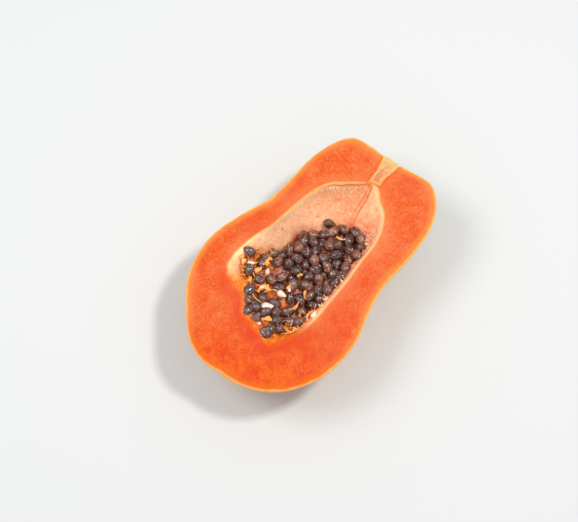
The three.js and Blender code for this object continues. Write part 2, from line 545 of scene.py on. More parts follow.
class FleshFinish(Finish):
    """Ripe flesh: the cut face with its yellow line under the skin, the pale lining and the stalk's core."""

    name = "papaya_flesh"
    fixed = {"Subsurface Weight": 0.3, "Subsurface Radius": (1.0, 0.4, 0.15), "Subsurface Scale": 0.003,
             "Specular IOR Level": 0.12}

    def dress(self, board: Board, shader: Node) -> None:
        """The cut face, turned into the lining past the hollow's edge and into pith on the stalk's core."""
        mask, grain = self.patches(board, 0.018, 0.0014, 3.0)
        edge, core = board.mark("past_edge"), board.mark("core_gap")
        inside = board.mix(board.mark("blossom"), board.band(edge, 0.6, -0.9), board.band(edge, 2.5, -5.0))
        # Just outside the pale core the flesh turns deeper orange: painted shade of the groove along the
        # core.
        shade = board.layered(board.mix(inside, self.face(board, mask), self.lining(board, mask)),
                              ((198, 76, 4), core, 2.8, 0.3, 0.6),
                              (self.pith(board, mask), core, 0.7, -0.5, 1.0))
        self.feed(board, shader, shade, grain, 0.00035, 0.6)
        board.put(shader.inputs["Roughness"], board.band(grain, 0.3, 0.7, 0.32, 0.46))

    @staticmethod
    def face(board: Board, mask: object) -> Socket:
        """The cut face: mottled and fibrous, more orange at the blossom end, pale at both its borders."""
        place, low, edge = board.place(), board.mark("low"), board.mark("past_edge")
        wound = board.mark("grain_place", "Vector")
        bare = board.sum("SUBTRACT", 1.0, board.mark("blossom"))
        fibres = board.noise(board.stretched(wound, (1.0, 1.0, 0.16)), 0.0011, 3.0, 0.65)
        hoops = board.noise(board.stretched(wound, (0.25, 0.25, 1.0)), 0.004, 3.0, 0.6)
        wander = board.times(board.sum("SUBTRACT", board.noise(place, 0.006, 2.0), 0.5), 2.0)
        under = board.sum("ADD", board.mark("under_skin"), wander)
        cloud = board.noise(place, 0.007, 5.0, 0.72)
        fine = board.noise(place, 0.0013, 3.0, 0.7)
        flesh = board.layered(board.mix(mask, (199, 72, 0), (200, 98, 52)),
                              ((202, 107, 58), cloud, 0.5, 0.62, 0.6), ((197, 65, 0), cloud, 0.47, 0.36, 0.6))
        flesh = board.mix(board.times(low, 0.85), flesh,
                          board.layered((195, 48, 4), ((203, 84, 0), cloud, 0.42, 0.56, 1.0)))
        flesh = board.layered(flesh,
                              (board.mix(low, (204, 114, 66), (204, 104, 34)), fibres, 0.52, 0.68, 0.3),
                              ((193, 62, 2), fibres, 0.46, 0.30, 0.4),
                              ((197, 69, 2), hoops, 0.52, 0.66, 0.35),
                              (board.mix(low, (206, 115, 60), (206, 98, 12)), fine, 0.52, 0.66, 0.6),
                              ((188, 54, 0), fine, 0.48, 0.34, 0.6))
        flesh = board.mix(board.times(board.band(edge, 11.0, 1.0, 0.0, 0.45), bare), flesh, (204, 116, 63))
        flesh = board.mix(board.mark("deep_red"), flesh, (194, 54, 8))
        flesh = board.layered(flesh, (board.mix(low, (205, 118, 50), (200, 92, 0)), under, 6.5, 0.8, 1.0),
                              (board.mix(low, (216, 156, 74), (214, 148, 90)), under, 1.8, 0.2, 1.0))
        return board.mix(board.times(board.band(edge, 1.5, 0.2, 0.0, 0.85), bare), flesh, (212, 152, 84))

    @staticmethod
    def lining(board: Board, mask: object) -> Socket:
        """The hollow's lining: pale peach with yellow spots and strokes, and orange at the blossom end."""
        place, blossom, edge = board.place(), board.mark("blossom"), board.mark("past_edge")
        wound = board.mark("grain_place", "Vector")
        speckle = board.noise(place, 0.0015, 4.0, 0.7)
        strokes = board.noise(board.stretched(wound, (1.0, 1.0, 0.35)), 0.0012, 3.0, 0.7)
        yellow = board.noise(board.stretched(place, (1.0, 1.0, 1.0), (0.4, 0.2, 1.0)), 0.0035, 4.0, 0.75)
        lining = board.layered(board.mix(mask, (247, 183, 142), (248, 192, 150)),
                               ((242, 166, 132), board.noise(place, 0.009, 3.0), 0.48, 0.66, 0.6))
        # Painted shade: the lining is darkened towards the hollow's apex, most on its left, against the
        # stronger light that falls there.
        lining = board.mix(board.times(board.mark("apex"), 0.85), lining, (216, 132, 86))
        lining = board.layered(lining, ((244, 184, 100), yellow, 0.55, 0.64, 0.6),
                               ((248, 212, 170), speckle, 0.52, 0.64, 0.45),
                               ((226, 138, 92), speckle, 0.48, 0.38, 0.45))
        brushed = board.times(board.band(strokes, 0.52, 0.64), board.band(edge, -13.0, -3.0, 0.15, 0.7))
        # The cream layer just under the edge is partly the lining's own pale rim and partly painted light
        # that lifts the shade of the steep wall there.
        lining = board.layered(board.mix(brushed, lining, (250, 220, 176)),
                               ((252, 208, 148), edge, -4.8, -1.2, 0.75))
        warm = board.layered(board.mix(mask, (208, 82, 2), (214, 116, 22)),
                             ((220, 150, 44), board.noise(place, 0.0032, 5.0, 0.75), 0.5, 0.6, 0.85),
                             ((222, 160, 74), speckle, 0.5, 0.64, 0.5))
        lining = board.mix(blossom, lining, warm)
        # Painted shade: the wall turns red-brown around the seed heap and deeper down, broken into patches by
        # noise.
        painted_shade_patches = board.band(board.noise(place, 0.004, 3.0), 0.3, 0.6, 0.4, 1.0)
        lining = board.mix(board.times(board.mark("painted_heap_shade"), painted_shade_patches), lining,
                           board.mix(blossom, (190, 94, 60), (198, 80, 10)))
        lining = board.mix(board.mark("seam"), lining, (198, 92, 38))
        return board.mix(board.mark("fold"), lining, (204, 108, 54))

    @staticmethod
    def pith(board: Board, mask: object) -> Socket:
        """The pale core between stalk and hollow: pinkish, veined lengthways, greenish at the stump."""
        place = board.place()
        veins = board.noise(board.stretched(place, (1.0, 0.2, 1.0), (0.0, 0.0, 0.05)), 0.0016, 3.0, 0.6)
        spots = board.band(board.noise(place, 0.0025, 3.0, 0.7), 0.46, 0.6, 0.1, 0.8)
        pith = board.layered(board.mix(mask, (188, 112, 70), (196, 132, 96)),
                             ((200, 126, 102), board.noise(place, 0.004, 4.0, 0.7), 0.48, 0.66, 0.5),
                             ((206, 158, 112), veins, 0.5, 0.66, 0.7),
                             ((186, 98, 54), veins, 0.49, 0.38, 0.65),
                             ((208, 156, 92), board.mark("core_gap"), -2.2, -0.3, 0.9))
        pith = board.mix(board.times(board.mark("neck"), spots), pith, (192, 176, 96))
        return board.mix(board.mark("stalk_end"), pith, board.mix(spots, (200, 160, 112), (192, 176, 86)))


class SkinFinish(Finish):
    """Thin waxy skin: orange-yellow, green towards the stalk, with faint specks."""

    name = "papaya_skin"
    fixed = {"Subsurface Weight": 0.08, "Subsurface Radius": (1.0, 0.5, 0.15), "Subsurface Scale": 0.002,
             "Coat Weight": 0.15, "Coat Roughness": 0.3}

    def dress(self, board: Board, shader: Node) -> None:
        """Yellow and orange patches, greener by the mark towards the stalk, pale where the stalk begins."""
        place = board.place()
        mask, grain = self.patches(board, 0.035, 0.0012, 2.4)
        skin = board.layered(board.mix(mask, (240, 144, 34), (242, 184, 58)),
                             ((238, 118, 40), board.noise(place, 0.05, 3.0, 0.6), 0.5, 0.68, 0.7))
        cloud = board.noise(board.stretched(place, (1.0, 0.45, 1.0)), 0.014, 4.0, 0.6)
        green = board.times(board.mark("greenness"), board.band(cloud, 0.3, 0.62, 0.35, 1.0))
        skin = board.layered(board.mix(green, skin, (184, 180, 44)),
                             ((202, 138, 44), board.spots(place, 330.0), 0.2, 0.06, 0.6))
        few = board.band(board.noise(place, 0.02, 2.0), 0.5, 0.6)
        marks = board.times(board.band(board.spots(place, 95.0), 0.12, 0.06, 0.0, 0.75), few)
        skin = board.mix(marks, skin, (150, 92, 40))
        scuffs = board.noise(board.stretched(place, (1.0, 0.3, 1.0)), 0.01, 5.0, 0.7)
        skin = board.layered(skin, ((230, 186, 104), scuffs, 0.62, 0.8, 0.35))
        skin = board.mix(board.mark("stalk_end"), skin, (206, 176, 118))
        self.feed(board, shader, skin, grain, 0.00018, 0.5)
        board.put(shader.inputs["Roughness"], board.band(grain, 0.3, 0.7, 0.34, 0.46))


class SeedFinish(Finish):
    """Ripe seeds in wet jelly: dark brown, each with its own tone, under a clear coat."""

    name = "papaya_seed"
    fixed = {"Subsurface Weight": 0.1, "Subsurface Radius": (1.0, 0.35, 0.2), "Subsurface Scale": 0.0012,
             "IOR": 1.5, "Coat Weight": 0.6, "Coat Roughness": 0.11, "Coat IOR": 1.5}

    def dress(self, board: Board, shader: Node) -> None:
        """Near black to brown by each seed's tone, greyer by its mark, with a red-brown rim, painted
        highlight on its ridges and painted shade between them.
        """
        mask, _ = self.patches(board, 0.0022, 0.0009, 3.0)
        own = board.stretched(board.mark("seed_place", "Vector"), (0.3, 1.0, 1.0))
        ridges = board.noise(own, 0.0010, 3.0, 0.65)
        brown = board.mix(mask, (78, 38, 26), (140, 84, 54))
        jelly = board.mix(mask, (66, 16, 8), (120, 44, 20))
        seed = board.layered(board.mix(mask, (30, 11, 9), (64, 29, 21)),
                             (brown, board.mark("tone"), 0.3, 0.95, 1.0))
        seed = board.mix(board.mark("greyness"), seed, board.mix(mask, (40, 27, 32), (94, 72, 74)))
        # Painted highlight: pale streaks on the ridges stand in for broad reflections. Painted shade: near
        # black in the hollows between them.
        seed = board.layered(seed, ((190, 136, 110), ridges, 0.55, 0.66, 0.8),
                             ((20, 7, 7), ridges, 0.47, 0.36, 0.8),
                             (jelly, board.mark("crown"), 0.66, 0.2, 0.8))
        self.feed(board, shader, seed, ridges, 0.0009, 0.9)
        board.put(shader.inputs["Roughness"], board.band(mask, 0.2, 0.8, 0.14, 0.28))


class CoreFinish(Finish):
    """What lies under the top seeds: dark, wet and red-brown."""

    name = "papaya_seed_core"
    fixed = {"Roughness": 0.25}

    def dress(self, board: Board, shader: Node) -> None:
        """Dark red-brown with blacker patches and a coarse relief, and orange towards the blossom end."""
        mask, grain = self.patches(board, 0.006, 0.0025, 3.0)
        pulpy = board.layered(board.mix(mask, (112, 34, 8), (226, 110, 24)),
                              ((236, 160, 72), grain, 0.54, 0.66, 0.7))
        shade = board.mix(board.mark("tone"), board.mix(mask, (66, 17, 9), (140, 48, 20)), pulpy)
        self.feed(board, shader, shade, grain, 0.001, 0.8)


class TonedFinish(Finish):
    """A mottled finish whose first pair of colours turns into its second by each part's tone."""

    mottling: tuple[float, float, float] = (0.003, 0.001, 2.0)
    pairs: tuple[tuple[Shade, Shade], ...] = ()
    relief: tuple[float, float] = (0.0002, 0.5)

    def dress(self, board: Board, shader: Node) -> None:
        """Mixes each pair by the mottle's mask. A finish with one pair reads no tone."""
        mask, grain = self.patches(board, *self.mottling)
        shades = [board.mix(mask, *pair) for pair in self.pairs]
        shade = board.mix(board.mark("tone"), *shades) if len(shades) > 1 else shades[0]
        self.feed(board, shader, shade, grain, *self.relief)


class PulpFinish(TonedFinish):
    """Bits of juicy pulp and seed strands: orange to pale yellow and translucent."""

    name = "papaya_pulp"
    fixed = {"Roughness": 0.25, "Subsurface Weight": 0.25, "Subsurface Radius": (1.0, 0.5, 0.2),
             "Subsurface Scale": 0.0015}
    mottling = (0.0025, 0.0008, 2.5)
    pairs = (((228, 112, 18), (234, 154, 48)), ((234, 166, 84), (238, 196, 136)))
    relief = (0.0003, 0.6)


class UnripeSeedFinish(TonedFinish):
    """Unripe seeds: cream white and wet, with faint peach patches."""

    name = "papaya_unripe_seed"
    fixed = {"Roughness": 0.22, "Subsurface Weight": 0.2, "Subsurface Radius": (1.0, 0.7, 0.5),
             "Subsurface Scale": 0.0012}
    pairs = (((228, 176, 150), (236, 214, 200)),)


class HairFinish(TonedFinish):
    """The short hairs and stumps of the lining: pale peach to cream, and not shiny."""

    name = "papaya_lining_hair"
    fixed = {"Roughness": 0.35}
    mottling = (0.0015, 0.0006, 2.0)
    pairs = (((234, 168, 122), (238, 188, 146)), ((240, 200, 156), (244, 216, 182)))
    relief = (0.0002, 0.4)


# ---- the fruit


@dataclass
class Fruit(Bed):
    """The flesh with its skin: one closed skin from the back, over the cut face, into the hollow."""

    rim: Outline = Outline(
        (0.0, 0.0), 54.0, 86.0,
        (0.97, 1.035, 1.15, 1.14, 0.99, 0.85, 0.87, 1.0, 1.06, 1.05, 1.015, 0.98,
         0.965, 1.01, 1.045, 1.065, 1.12, 1.09, 0.945, 0.835, 0.88, 1.005, 1.075, 1.01))
    keel_factors: tuple[float, ...] = (0.97, 1.01, 1.07, 1.07, 1.0, 0.965, 0.985, 1.025, 1.05, 1.04, 1.02,
                                       0.99, 0.965)
    depth: float = 50.0
    rib: float = 0.012
    stalk_radius: float = 5.4
    stalk_end: float = 85.2
    stalk_fall: float = 4.5
    bark: float = 0.25
    lowest: float = 89.2
    rim_round: float = 0.7
    edge_round: float = 1.1
    grain_radius: float = 45.0
    around: int = 400
    back_rows: int = 96
    rim_rows: int = 5
    face_rows: int = 46
    wall_rows: int = 76
    edge_rows: int = 8

    def keel(self) -> Outline:
        """The keel's factors and their mirror image, as a closed list."""
        return Outline((0.0, 0.0), 1.0, 1.0, self.keel_factors + self.keel_factors[-2:0:-1])

    def skin(self, direction: Array) -> Array:
        """The skin in directions of the unit sphere, whose poles are the stalk and the blossom end.

        The factor is the rim's times the square of the sideways share and the keel's times the rest, and
        five blunt ribs lift it by a cosine round the axis. The stump of the stalk is a short flat-topped
        rise within its radius of the axis.

        Args:
            direction: unit vectors, (..., 3).

        Returns:
            Places in the fruit's frame, (..., 3).
        """
        polar = np.arccos(np.clip(direction[..., 1], -1, 1))
        around = np.hypot(direction[..., 0], direction[..., 2])
        sideways = np.where(around > 1e-9, direction[..., 0] / np.maximum(around, 1e-9), 1.0)
        rim = self.rim.factor(np.where(sideways >= 0, polar, -polar))
        under = 1 - sideways * sideways
        ribs = 1 + self.rib * under * np.cos(5 * np.arccos(np.clip(sideways, -1, 1))) * around
        factor = (rim * sideways * sideways + self.keel().factor(polar) * under) * ribs
        points = direction * factor[..., None] * [self.rim.half_breadth, self.rim.half_length, self.depth]
        off_axis = np.hypot(points[..., 0], points[..., 2])
        bark = self.bark * lattice_noise(points, 1.6, 5)
        fall = self.stalk_fall * smoothstep(0.8, 1.25, off_axis / self.stalk_radius)
        stump = self.stalk_end - 0.5 + bark - fall
        near = (direction[..., 1] > 0.9) & (off_axis < self.stalk_radius * 1.3)
        points[..., 1] = np.where(near, np.maximum(points[..., 1], stump), points[..., 1])
        return points

    def columns(self) -> Array:
        """Plan angles of the columns, turning anticlockwise as seen from above."""
        return -2 * np.pi * np.arange(self.around) / self.around

    def back(self, floor: float) -> Array:
        """Rings of the back, from just above the lowest point to just under the rim. Each height is held
        above the flat spot at the floor by a smooth maximum."""
        low = np.radians(self.lowest)
        high = math.asin(self.rim_round / self.depth)
        lift = np.linspace(0, 1, self.back_rows) ** 0.9
        below = low + (high - low) * lift
        below, turn = np.meshgrid(below, self.columns(), indexing="ij")
        direction = np.stack([np.cos(below) * np.sin(turn), np.cos(below) * np.cos(turn), -np.sin(below)], -1)
        points = self.skin(direction)
        over = points[..., 2] - floor
        points[..., 2] = floor + 0.5 * (over + np.sqrt(over * over + 0.05))
        return points

    def rings(self, floor: float) -> tuple[Array, dict[str, Array], int]:
        """All rings in order with their marks: the back, the rim, the cut face, the edge and the wall.

        Args:
            floor: height of the flat spot.

        Returns:
            (rings, marks of the rings, number of rings of skin).
        """
        turn = self.columns()
        level = np.stack([np.sin(turn), np.cos(turn), np.zeros_like(turn)], -1)
        rim = self.skin(level)[:, :2]
        soft = self.hollow.soft(turn)
        power = (self.hollow.fullness + self.hollow.softness * soft) / 2
        start = np.sqrt(1 - (self.edge_round / self.hollow.depth) ** (1 / power))
        edge = self.hollow.outline.place(turn, start)
        overhang = np.linalg.norm(self.hollow.outline.place(turn) - edge, axis=-1)
        rounding = overhang + self.edge_round * (1 + 1.5 * soft)
        outward = unit(rim - edge)
        width = np.linalg.norm(rim - edge, axis=-1)
        back = self.back(floor)

        rim_arc = [np.concatenate([rim - outward * self.rim_round * (1 - math.cos(a)),
                                   np.full((self.around, 1), -self.rim_round * (1 - math.sin(a)))], -1)
                   for a in np.linspace(0, np.pi / 2, self.rim_rows + 1)[1:]]
        # The cut face's rows crowd towards both borders. It waves a little, just under its plane.
        t = np.linspace(0, 1, self.face_rows + 2)[1:-1]
        t = (t - 0.13 * np.sin(2 * np.pi * t) / np.pi * 2)[:, None]
        inset = self.rim_round + t * (width - self.rim_round - rounding)[None]
        face = np.concatenate([rim[None] - outward[None] * inset[..., None],
                               np.zeros((self.face_rows, self.around, 1))], -1)
        waves = (lattice_noise(face, 17.0, 1) * 0.22 + lattice_noise(face, 5.0, 2) * 0.07)
        settle = smoothstep(0.0, 3.0, inset) * smoothstep(0.0, 3.0, (width - rounding)[None] - inset)
        face[..., 2] = (waves - 0.3) * settle - 0.02
        edge_arc = [self.edge_ring(edge, outward, rounding, soft, step)
                    for step in np.linspace(0, 1, self.edge_rows + 1)[:-1]]
        wall = np.stack([self.wall_ring(start * math.cos(step * np.pi / 2), turn)
                         for step in np.linspace(0, 0.985, self.wall_rows)])

        # Each column's own length gives the distances that the finishes use. Where the wall is gentle, the
        # hollow's edge is ragged.
        rings = np.concatenate([back, np.stack(rim_arc), face, np.stack(edge_arc), wall])
        skin_rows = self.back_rows + 1
        run = np.linalg.norm(np.diff(rings, axis=0), axis=-1)
        along = np.concatenate([np.zeros((1, self.around)), np.cumsum(run, axis=0)])
        edge_row = self.back_rows + self.rim_rows + self.face_rows + self.edge_rows // 2
        past_edge = along[edge_row] - along
        ragged = 1.3 * lattice_noise(rings, 5.0, 13) + 0.7 * lattice_noise(rings, 2.3, 14)
        near = soft[None] * np.exp(-(past_edge / 5.0) ** 2)
        rings[..., :2] += outward[None] * (ragged * near)[..., None]
        return rings, self.marks(rings, along - along[skin_rows], past_edge, turn), skin_rows

    def marks(self, rings: Array, under_skin: Array, past_edge: Array, turn: Array) -> dict[str, Array]:
        """The numbers that the finishes read at each vertex.

        Args:
            rings: the vertices, (rings, around, 3).
            under_skin: how far along its column each one is from the skin, in millimetres.
            past_edge: how far along its column each one is outside the hollow's edge.
            turn: plan angles of the columns.

        Returns:
            Name to numbers or places, in the layout of the rings.
        """
        x, y, z = np.moveaxis(rings, -1, 0)
        wound = self.grain_radius * np.stack([np.sin(turn), np.cos(turn)], -1)
        return {
            "grain_place": np.concatenate([np.broadcast_to(wound, (*x.shape, 2)),
                                           (under_skin - under_skin[:1])[..., None]], -1) / 1000,
            "under_skin": under_skin,
            "past_edge": past_edge,
            # painted shade of the seed heap on the wall: near its border and deeper down
            "painted_heap_shade": smoothstep(1.3, 0.96, self.heap.outline.share(rings[..., :2]))
            * smoothstep(-1.0, -5.0, z),
            "core_gap": self.core_gap(rings),
            "stalk_end": self.stalk_mark(rings),
            "blossom": smoothstep(-13.0, -29.0,
                                  y + 0.3 * np.abs(x + 8) + 3.0 * lattice_noise(rings, 6.0, 15)),
            "seam": np.clip(self.placenta(rings[..., :2]), 0, 1) * smoothstep(0.4, 1.2, -z),
            "fold": self.fold(rings, -past_edge),
            "deep_red": self.deep_red(rings, past_edge),
            "low": smoothstep(-35.0, -75.0, y - 0.5 * x + 7.0 * lattice_noise(rings, 15.0, 16)),
            # painted shade towards the hollow's apex, most on its left
            "apex": smoothstep(26.0, 50.0, y + 3.0 * lattice_noise(rings, 7.0, 17))
            * (0.35 + 0.65 * smoothstep(6.0, -1.0, x)),
            "neck": smoothstep(70.0, 82.0, y),
            "greenness": smoothstep(10.0, 78.0, y + 6 * lattice_noise(rings, 22.0, 3)),
        }

    def edge_ring(self, edge: Array, outward: Array, rounding: Array, soft: Array, step: float) -> Array:
        """A ring of the hollow's rounded edge, from the cut face at step 0 to the wall at step 1.

        Where the wall is steep the section is a quarter ellipse, and where it is gentle a parabola.

        Args:
            edge: where the wall begins, (around, 2).
            outward: plan directions away from the hollow.
            rounding: how far out the rounding reaches.
            soft: share of the parabola.
            step: share of the way down.

        Returns:
            Array (around, 3).
        """
        angle = step * np.pi / 2
        across = (1 - soft) * (1 - math.sin(angle)) + soft * (1 - step)
        down = (1 - soft) * (1 - math.cos(angle)) + soft * step * step
        return np.concatenate([edge + outward * (rounding * across)[:, None],
                               (-self.edge_round * down)[:, None]], -1)

    def wall_ring(self, share: Array, turn: Array) -> Array:
        """One ring of the hollow's wall: the bowl with two low ridges from the stalk end and soft dimples."""
        plan = self.hollow.outline.place(turn, share)
        points = np.concatenate([plan, self.hollow.height(turn, share)[:, None]], -1)
        bottom_fade = 1 - smoothstep(0.98, 1.0, 1 - share)
        relief = 0.32 * lattice_noise(points, 6.0, 7) + 0.14 * lattice_noise(points, 2.2, 8)
        ridge = 0.4 * self.placenta(plan)
        return points + self.hollow.normal(plan) * ((relief + ridge) * bottom_fade
                                                    * smoothstep(0.0, 1.5, -points[:, 2]))[:, None]

    @staticmethod
    def placenta(plan: Array) -> Array:
        """Share of the two seams that run down from the hollow's apex and draw apart: a pair of narrow
        bell curves about their lines, fading towards the seeds."""
        down = np.clip(65.0 - plan[..., 1], 0.0, 40.0)
        off = plan[..., 0] - (-0.6 + 0.15 * down + 0.5 * np.sin(down * 0.28))
        spread = 0.8 + 0.03 * down
        bells = np.exp(-((off - spread) / 0.5) ** 2) + 0.8 * np.exp(-((off + spread) / 0.45) ** 2)
        return bells * (1 - smoothstep(15.0, 25.0, down)) * smoothstep(66.0, 64.0, plan[..., 1])

    def core_gap(self, points: Array) -> Array:
        """Distance in millimetres outside the pale core that joins the stalk to the hollow's apex.

        The core is a band whose half width grows from 3.2 to 5.6 towards the stalk, and it ends square
        at the apex: the gap is the greater of the gap to its side and the gap to its end.
        """
        way = np.clip((points[..., 1] - 66.0) / 17.0, 0.0, 1.2)
        middle = 0.9 - 0.3 * way
        half = 3.2 + 2.4 * way ** 2.2
        wave = 0.45 * lattice_noise(points, 3.2, 9)
        beside = np.abs(points[..., 0] - middle) - half
        below = 66.3 + 0.25 * (points[..., 0] - middle) - points[..., 1]
        gap = np.maximum(beside, below) + wave
        return np.minimum(gap, 9.0) + smoothstep(0.5, 3.0, -points[..., 2]) * 9.0

    def stalk_mark(self, points: Array) -> Array:
        """1 on the stump of the stalk and 0 a little below it."""
        off_axis = np.hypot(points[..., 0], points[..., 2])
        near = 1 - smoothstep(self.stalk_radius - 0.6, self.stalk_radius + 1.2, off_axis)
        return near * smoothstep(80.5, 83.2, points[..., 1])

    @staticmethod
    def fold(points: Array, down: Array) -> Array:
        """Share of the darker band along the lining under its edge, left of the apex: a narrow bell curve
        about 1.9 mm down the wall over a wide one."""
        near = smoothstep(40.0, 55.0, points[..., 1]) * smoothstep(1.0, -1.0, points[..., 0])
        line = np.exp(-((down - 1.9 - 0.3 * np.sin(points[..., 0] * 0.7)) / 0.35) ** 2)
        return near * np.minimum(1.0, 0.7 * line + 0.7 * np.exp(-((down - 2.4) / 1.3) ** 2))

    @staticmethod
    def deep_red(points: Array, edge: Array) -> Array:
        """Share of the deepest red: along the hollow's edge at its blossom end, and in a few soft patches."""
        reach = edge + 2.5 * lattice_noise(points, 6.0, 18)
        near = smoothstep(13.0, 1.0, reach) * smoothstep(-24.0, -46.0, points[..., 1])
        patch = smoothstep(0.25, 0.7, lattice_noise(points, 19.0, 12))
        return np.clip(0.75 * near + 0.35 * patch, 0.0, 1.0)

    def build(self, origin: Array, flesh: Material, skin: Material) -> Piece:
        """Makes the piece, with flesh on the cut face and in the hollow, and skin on the back."""
        floor = -origin[2]
        rings, marks, skin_rows = self.rings(floor)
        poles = (rings[0].mean(0), rings[-1].mean(0))
        whole = {name: np.concatenate([values[0].mean(0)[None], values.reshape(-1, *values.shape[2:]),
                                       values[-1].mean(0)[None]]) for name, values in marks.items()}
        surface = Surface.of_rings(rings, poles, whole)
        quad_rows = np.repeat(np.arange(len(rings) - 1), self.around)
        fans = np.repeat([0, len(rings)], self.around)
        slots = (np.concatenate([quad_rows, fans]) < skin_rows).astype(int)
        piece = make_piece("papaya_flesh_and_skin", surface, origin, [flesh, skin], slots)
        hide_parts("papaya_half")
        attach(piece, "root")
        return piece


# ---- the seeds


@dataclass
class SeedPile(Bed):
    """Separate ripe seeds, in two layers over a dark core."""

    half_length: float = 4.15
    half_breadth: float = 3.2
    pitch: float = 6.4
    rings: int = 13
    around: int = 18
    core_drop: float = 4.6
    core_reach: float = 0.93
    pulp_rise: float = 1.6
    dent_depth: float = 2.2
    dent_radius: float = 3.6
    border: float = 2.4
    shove: float = 0.35
    drift: float = 0.3
    loners: tuple[Spot, ...] = ((-7.5, 33.0), (-33.0, -14.0), (-11.0, -43.0), (5.5, -47.5))
    loose: tuple[Spot, ...] = (
        (-2.0, 29.5), (2.0, 34.5), (9.0, 37.5), (9.0, 30.5), (14.5, 35.5), (13.5, 26.0), (-23.5, -14.0),
        (-26.5, -22.5), (-18.5, -23.5), (-18.0, -32.5), (-14.5, -37.5), (-9.5, -31.0), (-4.5, -43.0),
        (-9.0, -38.0), (-2.5, -37.5), (6.5, -44.0), (11.0, -40.0), (5.5, -37.0), (-2.0, -29.0), (2.0, -33.0),
        (7.0, -28.0), (12.0, -32.0), (13.5, -22.5), (17.0, -29.0), (8.5, -17.5), (16.5, -15.5), (3.5, -20.5),
        (-5.5, -19.5), (0.0, -13.5), (-8.0, -13.5), (-12.5, -18.5), (-16.0, -7.0), (7.0, -8.5),
    )
    dents: tuple[Spot, ...] = ((-3.5, -34.0), (-1.5, -22.5), (22.5, -20.5))
    sparse_from: float = -12.0
    ceiling: float = 0.2

    def seed_plan(self, pitch: float, shrink: float, rng: np.random.Generator) -> Array:
        """Plan places a pitch apart on a jittered lattice of rows, within a share of the heap's outline."""
        rows = np.arange(-60, 60, pitch * 0.87)
        columns = np.arange(-50, 50, pitch)
        x, y = np.meshgrid(columns, rows, indexing="ij")
        x = x + (np.arange(len(rows)) % 2)[None] * pitch / 2
        plan = np.stack([x, y], -1).reshape(-1, 2) + rng.normal(0, 0.9, (x.size, 2))
        return plan[self.heap.outline.share(plan) < shrink]

    def resting_height(self, plan: Array, drop: float) -> Array:
        """Height of a seed's middle: below the heap's top, but never closer to the wall than it is thick."""
        clear = self.half_breadth * 0.85
        dents = np.linalg.norm(plan[:, None] - np.array(self.dents)[None], axis=-1)
        dent = self.dent_depth * np.exp(-(dents / self.dent_radius) ** 2).sum(1)
        return np.maximum(self.heap.top(plan, self.hollow) - drop, self.hollow.wall(plan) + clear) - dent

    def settle(self, plan: Array, drop: Array, fixed: int, rounds: int = 60) -> Array:
        """Seeds pushed apart until their middles are about a pitch apart, each drawn to its own level.

        In each round a seed moves by a share of every overlap, back inside the heap's border, and a share
        of the way to its level.

        Args:
            plan: first places, (n, 2).
            drop: depth of each seed's middle under the heap's top, (n,).
            fixed: how many of the first ones stay where they are.
            rounds: how many times the pushes are repeated.

        Returns:
            Places (n, 3).
        """
        points = np.concatenate([plan, self.resting_height(plan, drop)[:, None]], -1)
        for _ in range(rounds):
            gap = points[:, None] - points[None]
            distance = np.linalg.norm(gap, axis=-1) + np.eye(len(points)) * 99  # never near itself
            push = np.maximum(0, self.pitch * 0.97 - distance)[..., None] * unit(gap) * self.shove
            moved = push.sum(1)
            moved[:fixed, :2] = 0
            points = points + moved
            angle, share = self.heap.outline.angle_and_share(points[:, :2])
            middle = np.array(self.heap.outline.centre)
            most = 1 - self.border / np.linalg.norm(self.heap.outline.place(angle) - middle, axis=-1)
            back = np.minimum(1.0, most / np.maximum(share, 0.1))[:, None]
            back[:fixed] = 1.0
            points[:, :2] = middle + (points[:, :2] - middle) * back
            level = self.resting_height(points[:, :2], drop)
            points[:, 2] += (level - points[:, 2]) * self.drift
        points[:, 2] = np.minimum(points[:, 2], self.ceiling - self.half_breadth)
        return points

    def places(self, rng: np.random.Generator) -> Array:
        """Middles of all seeds: the loners, the loose ones, the top layer and the layer under it."""
        alone = np.array(self.loners)
        height = np.minimum(self.hollow.wall(alone) + self.half_breadth * 0.75, PROUD - self.half_breadth)
        alone = np.concatenate([alone, height[:, None]], -1)
        loose = np.array(self.loose)
        top = self.seed_plan(self.pitch, 0.96, rng)
        apart = np.linalg.norm(top[:, None] - np.concatenate([loose, self.loners])[None], axis=-1).min(1)
        top = top[apart > self.pitch * np.where(top[:, 1] > self.sparse_from, 0.8, 0.9)]
        low = self.seed_plan(self.pitch * 1.2, 0.88, rng)
        low = low[low[:, 1] > self.sparse_from]
        sunk = np.where(top[:, 1] > self.sparse_from, 0.0, 3.0)
        plan = np.concatenate([loose, top, low])
        drop = np.concatenate([rng.normal(1.5, 0.4, len(loose)), rng.normal(2.2, 0.9, len(top)) + sunk,
                               rng.normal(5.6, 0.5, len(low))])
        return np.concatenate([alone, self.settle(plan, np.maximum(drop, 1.0), len(loose))])

    def headings(self, centres: Array, rng: np.random.Generator) -> Array:
        """The long, broad and flat axes of each seed, (n, 3, 3), which lies on the heap at any heading."""
        step = np.array([[1.5, 0.0], [0.0, 1.5]])
        slopes = [(self.heap.top(centres[:, :2] + s, self.hollow)
                   - self.heap.top(centres[:, :2] - s, self.hollow)) / 3.0 for s in step]
        flat = unit(np.stack([-slopes[0], -slopes[1], np.ones(len(centres))], -1)
                    + rng.normal(0, 0.2, (len(centres), 3)))
        turn = rng.uniform(0, 2 * np.pi, len(centres))
        guess = np.stack([np.cos(turn), np.sin(turn), rng.normal(0, 0.3, len(centres))], -1)
        broad = unit(np.cross(flat, guess))
        return np.stack([np.cross(broad, flat), broad, flat], 1)

